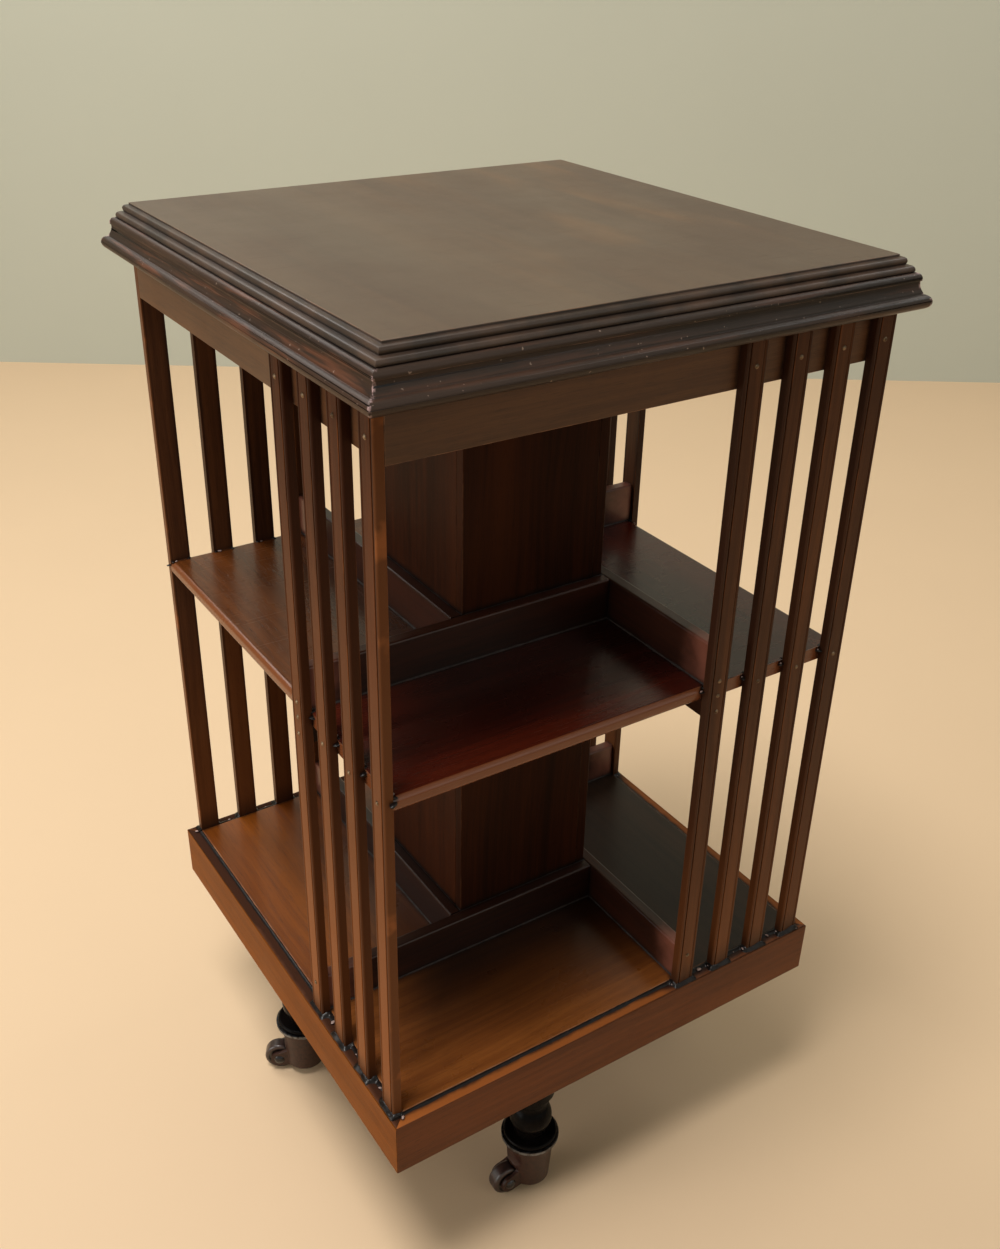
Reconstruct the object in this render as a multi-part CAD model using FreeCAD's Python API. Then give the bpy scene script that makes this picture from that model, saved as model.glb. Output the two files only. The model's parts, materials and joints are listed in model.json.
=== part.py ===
import FreeCAD, Part
import math
import os

# Revolving bookcase: a slatted two-tier case that turns on a steel spindle over a cross-shaped
# stand with four castors. Millimetres, +Z up, origin on the floor under the spindle.
# The four sides are alike, each a quarter turn on from the one before.

os.makedirs("parts", exist_ok=True)

# Case in plan
case_width = 441.2          # outside of the frieze and of the shelves, square
slats_per_side = 4
slat_width = 20.0
slat_thickness = 8.0
slat_bead_radius = 1.8      # bead worked on both front arrises of a slat
slat_quirk = 0.5            # width of the little groove beside the bead
frieze_thickness = 16.0
plinth_thickness = 12.0
column_width = 145.0
column_wall = 10.0
curb_thickness = 12.0

# Case heights, from the plinth up
plinth_height = 55.0
floor_board_rise = 2.0      # bottom boards stand this much above the plinth
floor_board_thickness = 12.0
lower_opening = 310.0       # bottom board to the underside of the shelf
shelf_thickness = 13.0
upper_opening = 260.0       # shelf to the bottom of the frieze
frieze_drop = 35.0          # frieze that shows under the moulding
curb_height = 39.0
bearer_height = 18.0
shelf_nosing = 5.0
plinth_arris = 1.5
curb_arris = 2.0

# Top moulding, measured out from the face of the frieze and up from its underside
lip_reach = 21.0
lip_radius = 5.6
lip_quirk = 1.0
cove_height = 8.8
cove_reach = 13.0
cove_depth = 1.6
under_bead_fillet = 0.8
under_bead_height = 5.2
under_bead_reach = 13.8
under_bead_width = 3.2

# Worked edge of the top board, measured the same way
ovolo_fillet = 1.0
ovolo_height = 8.2
ovolo_reach = 9.6
ovolo_width = 6.0
step_height = 1.0
step_reach = 2.0
nose_height = 2.8

# Slat joints
tenon_width = 10.0
tenon_thickness = 4.0
tenon_length = 8.0
tenon_gap = 0.1
pin_head_radius = 2.0
pin_head_height = 1.2
pin_shank_radius = 0.9
pin_bite = 14.0             # pin inside the wood behind the slat
frieze_pin_height = 13.0    # above the bottom of the frieze
shelf_curb_pin_height = 7.5
floor_curb_pin_height = 32.0

# Carriers of the case
case_rail_width = 60.0
case_rail_height = 19.0
corner_block_side = 28.0
bearing_block_height = 30.0

# Spindle and its bearings
spindle_radius = 9.5
running_clearance = 0.06
bush_wall = 4.5
bush_flange_radius = 24.0
bush_flange_thickness = 4.0
cup_plate_radius = 35.0
cup_plate_thickness = 4.0
cup_boss_radius = 18.0
cup_boss_height = 14.0      # plate included
ball_radius = 8.0
ball_relief = 2.0           # cup and spindle stop this far from the ball's middle
spindle_flange_radius = 45.0
spindle_flange_thickness = 8.0
spindle_boss_radius = 20.0
spindle_boss_height = 28.0  # flange included
washer_radius = 20.0
washer_thickness = 2.0
nut_across = 30.0
nut_height = 10.0
spindle_tail = 4.0          # thread that shows under the nut
screw_shank_radius = 2.0
screw_head_radius = 4.0
screw_head_height = 2.4
screw_bite = 16.0           # screw in the wood under the metal
bush_screw_count = 3
cup_screw_count = 3
flange_screw_count = 4

# Stand
castor_height = 66.0        # floor to the underside of the turned foot
foot_height = 58.0
stand_rail_height = 38.0
stand_gap = 6.0             # between the stand and the plinth that turns over it
stand_rail_width = 44.0
castor_circle_radius = 196.0
stand_turn = -18.5          # degrees that the stand is turned against the case
foot_ring_radius = 26.0
foot_ring_height = 5.0
foot_ball_radius = 20.5
foot_ball_height = 24.0     # middle of the ball above the foot's underside
foot_waist_radius = 16.0
foot_neck_radius = 14.0
foot_shoulder_radius = 18.0
foot_shoulder_height = 10.0
foot_dowel_radius = 9.0
foot_dowel_length = 24.0

# Castors
socket_flange_radius = 28.0
socket_flange_thickness = 3.0
socket_radius = 8.0
socket_length = 34.0
socket_end_gap = 1.0
stem_radius = 5.0
stem_length = 30.0
castor_play = 0.4           # between horn and socket, and beside the wheel
horn_cap_radius = 25.0
horn_cap_thickness = 5.0
horn_shoulder_radius = 23.0
horn_foot_radius = 20.0
horn_foot_height = 11.0     # open lower rim above the floor
horn_waist_radius = 16.0    # hollow worked in the trailing side
horn_waist_depth = 5.0
horn_waist_height = 44.0
castor_trail = 27.0
wheel_radius = 15.5
wheel_width = 14.0
wheel_dish = 1.5
wheel_shoulder = 3.0
wheel_hub_radius = 7.0
wheel_rim = 4.0
wheel_relief = 1.5          # between the wheel's tread and the horn
cheek_thickness = 3.5
cheek_boss_radius = 9.0
axle_radius = 3.0
axle_head_radius = 5.5
axle_head_height = 2.5
castor_directions = {"front": 178.0, "right": 172.0, "back": 158.0, "left": 150.0}

SIDES = ("front", "right", "back", "left")
ORIGIN = FreeCAD.Vector(0, 0, 0)
UP = FreeCAD.Vector(0, 0, 1)
ALONG_X = FreeCAD.Vector(1, 0, 0)
ALONG_Y = FreeCAD.Vector(0, 1, 0)
QUARTER = 90.0              # degrees from one side to the next
COS_45 = math.sqrt(0.5)     # the middle of a quarter round, on either of its radii
ROUND_SHARE = 0.45          # a rounded arris takes at most this share of its board
OVERCUT = 1.0               # a cutter runs this far past the face that it opens

# Half sizes in plan
case_half = case_width / 2
column_half = column_width / 2
column_room_half = column_half - column_wall
slat_front = case_half + slat_thickness
plinth_half = case_half + plinth_thickness
first_slat_x = column_half + curb_thickness / 2
last_slat_x = case_half - slat_width / 2
slat_pitch = (last_slat_x - first_slat_x) / (slats_per_side - 1)
slat_places = [first_slat_x + number * slat_pitch for number in range(slats_per_side)]

# Levels of the stand
foot_bottom = castor_height
stand_bottom = foot_bottom + foot_height
stand_top = stand_bottom + stand_rail_height

# Levels of the case
plinth_bottom = stand_top + stand_gap
plinth_top = plinth_bottom + plinth_height
floor_top = plinth_top + floor_board_rise
floor_bottom = floor_top - floor_board_thickness
shelf_bottom = floor_top + lower_opening
shelf_top = shelf_bottom + shelf_thickness
frieze_bottom = shelf_top + upper_opening
moulding_bottom = frieze_bottom + frieze_drop
moulding_height = 2 * lip_radius + lip_quirk + cove_height + under_bead_fillet + under_bead_height
top_bottom = moulding_bottom + moulding_height
top_thickness = ovolo_fillet + ovolo_height + step_height + nose_height
top_surface = top_bottom + top_thickness
case_rail_bottom = floor_bottom - case_rail_height

# Levels and half widths of a castor
horn_top = castor_height - socket_flange_thickness - castor_play
cheek_inside = wheel_width / 2 + castor_play
cheek_outside = cheek_inside + cheek_thickness

# Levels of the bearings
block_bottom = top_bottom - bearing_block_height
cup_bottom = block_bottom - cup_boss_height
ball_middle = cup_bottom - ball_relief
spindle_end = ball_middle - ball_relief
nut_top = stand_bottom - washer_thickness
spindle_start = nut_top - nut_height - spindle_tail


def point(plane, across, along):
    """A point of a flat drawing in the xy, xz or yz plane."""
    if plane == "xy":
        return FreeCAD.Vector(across, along, 0)
    if plane == "xz":
        return FreeCAD.Vector(across, 0, along)
    return FreeCAD.Vector(0, across, along)


def outline(plane, start, *steps):
    """A flat face. A step is an end point, or a pair of points: on the arc, and its end."""
    edges = []
    here = point(plane, *start)
    for step in steps + (start,):
        if isinstance(step[0], tuple):
            middle = point(plane, *step[0])
            there = point(plane, *step[1])
            edges.append(Part.Arc(here, middle, there).toShape())
        else:
            there = point(plane, *step)
            edges.append(Part.LineSegment(here, there).toShape())
        here = there
    return Part.Face(Part.Wire(edges))


def box(x_range, y_range, z_range):
    corner = FreeCAD.Vector(x_range[0], y_range[0], z_range[0])
    return Part.makeBox(x_range[1] - x_range[0], y_range[1] - y_range[0],
                        z_range[1] - z_range[0], corner)


def centred_box(width, depth, z_range):
    return box((-width / 2, width / 2), (-depth / 2, depth / 2), z_range)


def disc(radius, z_range, x=0.0, y=0.0):
    return Part.makeCylinder(radius, z_range[1] - z_range[0], FreeCAD.Vector(x, y, z_range[0]))


def turned(face):
    """A turned solid from half of its section, drawn in the xz plane."""
    return face.revolve(ORIGIN, UP, 360)


def rotated(shape, degrees):
    copy = shape.copy()
    copy.rotate(ORIGIN, UP, degrees)
    return copy


def moved(shape, x, y, z=0.0):
    copy = shape.copy()
    copy.translate(FreeCAD.Vector(x, y, z))
    return copy


def quarter_turn(shape, side):
    return rotated(shape, QUARTER * SIDES.index(side))


def group(shapes):
    return Part.Compound(list(shapes))


def mitred(section, reach):
    """A length of moulding along the front, mitred at both ends. Its section is in the yz plane."""
    length = moved(section, -reach, 0).extrude(ALONG_X * (2 * reach))
    wedge = outline("xy", (0, 0), (-reach, -reach), (reach, -reach))
    return length.common(wedge.extrude(UP * top_surface))


def corner_step(radius):
    """How far the middle of a rounded arris lies inside its corner, each way."""
    return radius * (1 - COS_45)


def dome_point(radius, height):
    """A point halfway along the arc of a low dome, from its middle and up from its rim."""
    ball = (radius ** 2 + height ** 2) / (2 * height)
    half_angle = math.asin(radius / ball) / 2
    return ball * math.sin(half_angle), ball * math.cos(half_angle) - (ball - height)


# Slats and their pins

def slat_outline():
    half = slat_width / 2
    bead_line = -slat_front + slat_bead_radius
    inner = half - 2 * slat_bead_radius
    flat = inner - slat_quirk
    crown = half - slat_bead_radius
    return outline("xy", (-half, -case_half), (half, -case_half), (half, bead_line),
                   ((crown, -slat_front), (inner, bead_line)),
                   (flat, -slat_front), (-flat, -slat_front), (-inner, bead_line),
                   ((-crown, -slat_front), (-half, bead_line)))


def tenon(gap=0.0):
    middle = -(case_half + slat_thickness / 2)
    width = tenon_width / 2 + gap
    thickness = tenon_thickness / 2 + gap
    return box((-width, width), (middle - thickness, middle + thickness),
               (plinth_top - tenon_length - gap, plinth_top))


def slat():
    body = moved(slat_outline(), 0, 0, plinth_top)
    body = body.extrude(UP * (moulding_bottom - plinth_top))
    return body.fuse(tenon())


def pin_places():
    """Where the pins of one side go, as x and z."""
    shelf_middle = (shelf_bottom + shelf_top) / 2
    places = []
    for x in slat_places:
        places.append((x, frieze_bottom + frieze_pin_height))
        places.append((x, shelf_middle))
    places.append((first_slat_x, shelf_top + shelf_curb_pin_height))
    places.append((first_slat_x, shelf_bottom - bearer_height / 2))
    places.append((first_slat_x, floor_top + floor_curb_pin_height))
    return places


def pin():
    """One domed pin along the y axis, driven through a slat of the front."""
    inner_end = -case_half + pin_bite
    dome_x, dome_rise = dome_point(pin_head_radius, pin_head_height)
    section = outline("xy", (0, inner_end), (pin_shank_radius, inner_end),
                      (pin_shank_radius, -slat_front), (pin_head_radius, -slat_front),
                      ((dome_x, -slat_front - dome_rise), (0, -slat_front - pin_head_height)))
    return section.revolve(ORIGIN, ALONG_Y, 360)


def pin_hole():
    start = FreeCAD.Vector(0, -slat_front, 0)
    return Part.makeCylinder(pin_shank_radius, slat_thickness + pin_bite, start, ALONG_Y)


def pins_of_front(shape):
    return [moved(shape, x, 0, z) for x, z in pin_places()]


def pins_all_round(shape):
    return [quarter_turn(one, side) for side in SIDES for one in pins_of_front(shape)]


PIN_HOLES = group(pins_all_round(pin_hole()))


def drilled(shape):
    return shape.cut(PIN_HOLES)


# Boards and rails of the case

def shelf_board():
    nosing = min(shelf_nosing, ROUND_SHARE * shelf_thickness)
    diagonal = corner_step(nosing)
    face = outline("yz", (-column_half, shelf_bottom), (-column_half, shelf_top),
                   (-case_half + nosing, shelf_top),
                   ((-case_half + diagonal, shelf_top - diagonal),
                    (-case_half, shelf_top - nosing)),
                   (-case_half, shelf_bottom + nosing),
                   ((-case_half + diagonal, shelf_bottom + diagonal),
                    (-case_half + nosing, shelf_bottom)))
    return moved(face, -case_half, 0).extrude(ALONG_X * (case_half + column_half))


def floor_board():
    return box((-case_half, column_half), (-case_half, -column_half), (floor_bottom, floor_top))


def curb(level):
    """A stop for the books: it runs in from the next side's first slat and past the column."""
    back = -column_half
    front = back - curb_thickness
    top = level + curb_height
    round_off = min(curb_arris, ROUND_SHARE * curb_thickness)
    diagonal = corner_step(round_off)
    face = outline("yz", (front, level), (back, level), (back, top - round_off),
                   ((back - diagonal, top - diagonal), (back - round_off, top)),
                   (front + round_off, top),
                   ((front + diagonal, top - diagonal), (front, top - round_off)))
    return moved(face, -case_half, 0).extrude(ALONG_X * (case_half + column_half))


def shelf_bearer():
    front = -column_half - curb_thickness
    return box((-case_half, column_half), (front, -column_half),
               (shelf_bottom - bearer_height, shelf_bottom))


def column_panel():
    return box((-column_half, column_room_half), (-column_half, -column_room_half),
               (floor_bottom, top_bottom))


def frieze_rail():
    return box((-case_half, case_half - frieze_thickness),
               (-case_half, -case_half + frieze_thickness), (frieze_bottom, top_bottom))


def plinth_rail():
    arris = min(plinth_arris, ROUND_SHARE * plinth_thickness)
    diagonal = corner_step(arris)
    face = outline("yz", (-plinth_half, plinth_bottom), (-case_half, plinth_bottom),
                   (-case_half, plinth_top), (-plinth_half + arris, plinth_top),
                   ((-plinth_half + diagonal, plinth_top - diagonal),
                    (-plinth_half, plinth_top - arris)))
    mortises = [moved(tenon(tenon_gap), x, 0) for x in slat_places]
    return mitred(face, plinth_half).cut(group(mortises))


def top_moulding():
    """Half-round lip, quirk, cove and bead, from the underside up."""
    def at(reach, height):
        return (-(case_half + reach), moulding_bottom + height)
    lip_middle = lip_reach - lip_radius
    cove_start = 2 * lip_radius + lip_quirk
    cove_end = cove_start + cove_height
    bead_start = cove_end + under_bead_fillet
    bead_end = bead_start + under_bead_height
    cove_low = max(lip_middle, cove_reach)
    face = outline("yz", at(0, 0), at(lip_middle, 0),
                   (at(lip_reach, lip_radius), at(lip_middle, 2 * lip_radius)),
                   at(lip_middle, cove_start),
                   (at((cove_low + cove_reach) / 2 - cove_depth / 2, (cove_start + cove_end) / 2),
                    at(cove_reach, cove_end)),
                   at(under_bead_reach, cove_end), at(under_bead_reach, bead_start),
                   (at(under_bead_reach - corner_step(under_bead_width),
                       bead_start + under_bead_height * COS_45),
                    at(under_bead_reach - under_bead_width, bead_end)),
                   at(0, bead_end))
    return mitred(face, case_half + lip_reach)


def top_board():
    """A square board whose edge is an ovolo, a step and a rounded nose."""
    ovolo_start = ovolo_fillet
    ovolo_end = ovolo_start + ovolo_height
    step_end = ovolo_end + step_height

    def drawn(plane):
        def at(reach, height):
            return (case_half + reach, top_bottom + height)

        def mirror(place):
            return (-place[0], place[1])
        low = at(ovolo_reach, 0)
        ovolo_low = at(ovolo_reach, ovolo_start)
        ovolo_mid = at(ovolo_reach - corner_step(ovolo_width), ovolo_start + ovolo_height * COS_45)
        ovolo_high = at(ovolo_reach - ovolo_width, ovolo_end)
        step_in = at(step_reach, ovolo_end)
        step_up = at(step_reach, step_end)
        nose_mid = at(step_reach * COS_45, step_end + nose_height * COS_45)
        nose_high = at(0, top_thickness)
        return outline(plane, low, ovolo_low, (ovolo_mid, ovolo_high), step_in, step_up,
                       (nose_mid, nose_high), mirror(nose_high),
                       (mirror(nose_mid), mirror(step_up)), mirror(step_in), mirror(ovolo_high),
                       (mirror(ovolo_mid), mirror(ovolo_low)), mirror(low))
    reach = case_half + lip_reach
    along_y = moved(drawn("xz"), 0, -reach).extrude(ALONG_Y * (2 * reach))
    along_x = moved(drawn("yz"), -reach, 0).extrude(ALONG_X * (2 * reach))
    return along_y.common(along_x)


def corner_block():
    """A glue block in the plinth's corner, under the bottom boards."""
    inner = -case_half + corner_block_side
    return box((-case_half, inner), (-case_half, inner), (case_rail_bottom, floor_bottom))


def half_lapped(length, width, z_range, keep_top):
    """One of two crossed rails, halved where they meet."""
    low, high = z_range
    middle = (low + high) / 2
    notch = (low, middle) if keep_top else (middle, high)
    return centred_box(length, width, z_range).cut(centred_box(width, width, notch))


def case_rails():
    span = (case_rail_bottom, floor_bottom)
    bore = disc(spindle_radius + running_clearance + bush_wall, span)
    screw_holes = group(bush_screws())
    lower = half_lapped(case_width, case_rail_width, span, False)
    upper = rotated(half_lapped(case_width, case_rail_width, span, True), QUARTER)
    return [rail.cut(bore).cut(screw_holes) for rail in (lower, upper)]


# Screws: heads countersunk level with the metal that they hold

def screw():
    section = outline("xz", (0, 0), (screw_head_radius, 0),
                      (screw_shank_radius, -screw_head_height),
                      (screw_shank_radius, -screw_bite), (0, -screw_bite - screw_shank_radius))
    return turned(section)


def place_screws(shape, circle, count, level, first=0.0):
    places = []
    for number in range(count):
        angle = math.radians(first + number * 360.0 / count)
        places.append(moved(shape, circle * math.cos(angle), circle * math.sin(angle), level))
    return places


def turned_over(shape):
    copy = shape.copy()
    copy.rotate(ORIGIN, ALONG_X, 180)
    return copy


def bush_screw_circle():
    return (spindle_radius + bush_wall + bush_flange_radius) / 2


def cup_screw_circle():
    return (cup_boss_radius + cup_plate_radius) / 2


def flange_screw_circle():
    return (spindle_boss_radius + spindle_flange_radius) / 2


def cup_screws():
    return place_screws(turned_over(screw()), cup_screw_circle(), cup_screw_count,
                        block_bottom - cup_plate_thickness)


def bush_screws():
    return place_screws(screw(), bush_screw_circle(), bush_screw_count,
                        floor_bottom + bush_flange_thickness)


def flange_screws():
    return place_screws(screw(), flange_screw_circle(), flange_screw_count,
                        stand_top + spindle_flange_thickness, stand_turn)


# Bearings

def lower_bush():
    bore = spindle_radius + running_clearance
    tube = disc(bore + bush_wall, (case_rail_bottom, floor_bottom))
    flange = disc(bush_flange_radius, (floor_bottom, floor_bottom + bush_flange_thickness))
    room = disc(bore, (case_rail_bottom - OVERCUT, floor_bottom + bush_flange_thickness + OVERCUT))
    return tube.fuse(flange).cut(room).cut(group(bush_screws()))


def bearing_block():
    side = 2 * column_room_half
    return centred_box(side, side, (block_bottom, top_bottom)).cut(group(cup_screws()))


def pivot_cup():
    plate = disc(cup_plate_radius, (block_bottom - cup_plate_thickness, block_bottom))
    boss = disc(cup_boss_radius, (cup_bottom, block_bottom))
    hollow = Part.makeSphere(ball_radius + running_clearance, FreeCAD.Vector(0, 0, ball_middle))
    return plate.fuse(boss).cut(hollow).cut(group(cup_screws()))


def pivot_ball():
    return Part.makeSphere(ball_radius, FreeCAD.Vector(0, 0, ball_middle))


def spindle():
    rod = disc(spindle_radius, (spindle_start, spindle_end))
    hollow = Part.makeSphere(ball_radius + running_clearance, FreeCAD.Vector(0, 0, ball_middle))
    return rod.cut(hollow)


def spindle_flange():
    plate = disc(spindle_flange_radius, (stand_top, stand_top + spindle_flange_thickness))
    boss = disc(spindle_boss_radius, (stand_top, stand_top + spindle_boss_height))
    bore = disc(spindle_radius, (stand_top - OVERCUT, stand_top + spindle_boss_height + OVERCUT))
    return plate.fuse(boss).cut(bore).cut(group(flange_screws()))


def spindle_nut():
    washer = disc(washer_radius, (nut_top, stand_bottom))
    nut = centred_box(nut_across, nut_across, (nut_top - nut_height, nut_top))
    bore = disc(spindle_radius, (spindle_start, stand_bottom + OVERCUT))
    return group([washer.cut(bore), nut.cut(bore)])


# Stand

def castor_place(side):
    """The upright axis of a castor, as x and y."""
    turn = math.radians(QUARTER * (SIDES.index(side) - 1) + stand_turn)
    return castor_circle_radius * math.cos(turn), castor_circle_radius * math.sin(turn)


def stand_rails():
    """Two half-lapped rails with round ends, drilled for the spindle, screws and foot dowels."""
    span = (stand_bottom, stand_top)
    holes = [disc(spindle_radius, span)] + flange_screws()
    for side in SIDES:
        x, y = castor_place(side)
        holes.append(disc(foot_dowel_radius, (stand_bottom, stand_bottom + foot_dowel_length),
                          x, y))
    rails = []
    for keep_top, angle in ((False, stand_turn), (True, stand_turn + QUARTER)):
        rail = half_lapped(2 * castor_circle_radius, stand_rail_width, span, keep_top)
        for end in (-castor_circle_radius, castor_circle_radius):
            rail = rail.fuse(disc(stand_rail_width / 2, span, end))
        rails.append(rotated(rail.removeSplitter(), angle).cut(group(holes)))
    return rails


def round_at(level, radius, middle):
    """Distance from the axis to a ball's surface at a level."""
    return math.sqrt(max(radius ** 2 - (level - middle) ** 2, 0.0))


def turned_foot():
    """Ring, ball, neck, shoulder and dowel, from the castor socket up."""
    ball_low = foot_ball_height - round_at(foot_waist_radius, foot_ball_radius, 0.0)
    ball_high = foot_ball_height + round_at(foot_neck_radius, foot_ball_radius, 0.0)
    ring_round = foot_ring_height / 2
    shoulder = foot_height - foot_shoulder_height
    neck_end = (ball_high + shoulder) / 2
    socket_depth = socket_length + socket_end_gap
    section = outline("xz", (socket_radius, 0), (foot_ring_radius - ring_round, 0),
                      ((foot_ring_radius, ring_round),
                       (foot_ring_radius - ring_round, foot_ring_height)),
                      (foot_waist_radius, foot_ring_height), (foot_waist_radius, ball_low),
                      ((foot_ball_radius, foot_ball_height), (foot_neck_radius, ball_high)),
                      (foot_neck_radius, neck_end), (foot_shoulder_radius, shoulder),
                      (foot_shoulder_radius, foot_height), (foot_dowel_radius, foot_height),
                      (foot_dowel_radius, foot_height + foot_dowel_length),
                      (0, foot_height + foot_dowel_length), (0, socket_depth),
                      (socket_radius, socket_depth))
    return moved(turned(section), 0, 0, foot_bottom)


def castor_socket():
    bore = stem_radius + running_clearance
    flange_bottom = foot_bottom - socket_flange_thickness
    flange = disc(socket_flange_radius, (flange_bottom, foot_bottom))
    sleeve = disc(socket_radius, (flange_bottom, foot_bottom + socket_length))
    room = disc(bore, (flange_bottom - OVERCUT, foot_bottom + socket_length + OVERCUT))
    return flange.fuse(sleeve).cut(room)


# Castors, drawn with the upright axis at the origin and the wheel trailing towards -x

def across(radius, half_width, x, z):
    """A cylinder along the y axis, centred on y = 0."""
    return Part.makeCylinder(radius, 2 * half_width, FreeCAD.Vector(x, -half_width, z), ALONG_Y)


def horn_body():
    cap_bottom = horn_top - horn_cap_thickness
    section = outline("xz", (0, horn_foot_height), (horn_foot_radius, horn_foot_height),
                      (horn_shoulder_radius, cap_bottom), (horn_cap_radius, cap_bottom),
                      (horn_cap_radius, horn_top), (stem_radius, horn_top),
                      (stem_radius, horn_top + stem_length), (0, horn_top + stem_length))
    body = turned(section)
    waist_x = -horn_shoulder_radius + horn_waist_depth - horn_waist_radius
    return body.cut(across(horn_waist_radius, horn_cap_radius, waist_x, horn_waist_height))


def horn_cheeks():
    """The pair of cheeks that reach back from the horn to the axle, before the slot is cut."""
    low = wheel_radius - cheek_boss_radius
    high = wheel_radius + cheek_boss_radius
    face = outline("xz", (-castor_trail, low), (0, horn_foot_height),
                   (0, horn_waist_height - horn_waist_radius / 2), (-castor_trail, high))
    plate = moved(face, 0, -cheek_outside).extrude(ALONG_Y * (2 * cheek_outside))
    return plate.fuse(across(cheek_boss_radius, cheek_outside, -castor_trail, wheel_radius))


def wheel_room():
    """The slot that the wheel turns in, open below and behind."""
    room = wheel_radius + wheel_relief
    behind = (-castor_trail - 2 * room, -castor_trail)
    below = (-castor_trail - room, -castor_trail + room)
    side = (-cheek_inside, cheek_inside)
    slot = across(room, cheek_inside, -castor_trail, wheel_radius)
    slot = slot.fuse(box(behind, side, (-room, wheel_radius + room)))
    return slot.fuse(box(below, side, (-room, wheel_radius)))


def castor_horn():
    horn = horn_body().fuse(horn_cheeks()).cut(wheel_room())
    return horn.cut(across(axle_radius, horn_cap_radius, -castor_trail, wheel_radius))


def castor_wheel():
    half = wheel_width / 2
    bore = axle_radius + running_clearance
    dish = half - wheel_dish
    rim = wheel_radius - wheel_rim
    shoulder = min(wheel_shoulder, ROUND_SHARE * wheel_width, wheel_rim)
    diagonal = corner_step(shoulder)
    section = outline("xz", (bore, -half), (wheel_hub_radius, -half), (wheel_hub_radius, -dish),
                      (rim, -dish), (rim, -half), (wheel_radius - shoulder, -half),
                      ((wheel_radius - diagonal, -half + diagonal),
                       (wheel_radius, -half + shoulder)),
                      (wheel_radius, half - shoulder),
                      ((wheel_radius - diagonal, half - diagonal),
                       (wheel_radius - shoulder, half)),
                      (rim, half), (rim, dish), (wheel_hub_radius, dish),
                      (wheel_hub_radius, half), (bore, half))
    return on_axle(turned(section))


def castor_axle():
    end = cheek_outside + axle_head_height
    dome_x, dome_rise = dome_point(axle_head_radius, axle_head_height)
    dome_z = cheek_outside + dome_rise
    section = outline("xz", (0, -end), ((dome_x, -dome_z), (axle_head_radius, -cheek_outside)),
                      (axle_radius, -cheek_outside), (axle_radius, cheek_outside),
                      (axle_head_radius, cheek_outside), ((dome_x, dome_z), (0, end)))
    return on_axle(turned(section))


def on_axle(shape):
    """Lays a shape turned about z along the castor's axle."""
    copy = shape.copy()
    copy.rotate(ORIGIN, ALONG_X, QUARTER)
    return moved(copy, -castor_trail, 0, wheel_radius)


def castor_at(shape, side):
    """Turns a castor's piece so that its wheel trails in that castor's direction."""
    x, y = castor_place(side)
    return moved(rotated(shape, castor_directions[side] - 180.0), x, y)


def all_pieces():
    pieces = {"top_board": top_board()}
    front_slats = group(drilled(moved(slat(), x, 0)) for x in slat_places)
    front_pieces = {
        "top_moulding": top_moulding(),
        "frieze_rail": drilled(frieze_rail()),
        "slats": front_slats,
        "shelf_board": drilled(shelf_board()),
        "floor_board": floor_board(),
        "column_panel": column_panel(),
        "plinth_rail": plinth_rail(),
    }
    for name, shape in front_pieces.items():
        for side in SIDES:
            pieces[name + "_" + side] = quarter_turn(shape, side)
    curbs = [drilled(curb(level)) for level in (floor_top, shelf_top)]
    pieces["curbs"] = group(quarter_turn(one, side) for one in curbs for side in SIDES)
    bearer = drilled(shelf_bearer())
    pieces["shelf_bearers"] = group(quarter_turn(bearer, side) for side in SIDES)
    pieces["slat_pins"] = group(pins_all_round(pin()))
    pieces["corner_blocks"] = group(quarter_turn(corner_block(), side) for side in SIDES)
    pieces["case_rail_lower"], pieces["case_rail_upper"] = case_rails()
    pieces["lower_bush"] = lower_bush()
    pieces["bearing_block"] = bearing_block()
    pieces["pivot_cup"] = pivot_cup()
    pieces["bearing_screws"] = group(cup_screws() + bush_screws())
    pieces["stand_rail_lower"], pieces["stand_rail_upper"] = stand_rails()
    pieces["spindle"] = spindle()
    pieces["spindle_flange"] = spindle_flange()
    pieces["flange_screws"] = group(flange_screws())
    pieces["spindle_nut"] = spindle_nut()
    pieces["pivot_ball"] = pivot_ball()
    pieces["turned_feet"] = group(moved(turned_foot(), *castor_place(side)) for side in SIDES)
    pieces["castor_sockets"] = group(moved(castor_socket(), *castor_place(side)) for side in SIDES)
    castor = {"castor_horn": castor_horn(), "castor_axle": castor_axle(),
              "castor_wheel": castor_wheel()}
    for name, shape in castor.items():
        for side in SIDES:
            pieces[name + "_" + side] = castor_at(shape, side)
    return pieces


for node, shape in all_pieces().items():
    shape.exportStep("parts/" + node + ".step")
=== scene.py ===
import json
import math
import random

import bmesh
import bpy
from mathutils import Matrix, Vector, noise

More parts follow.
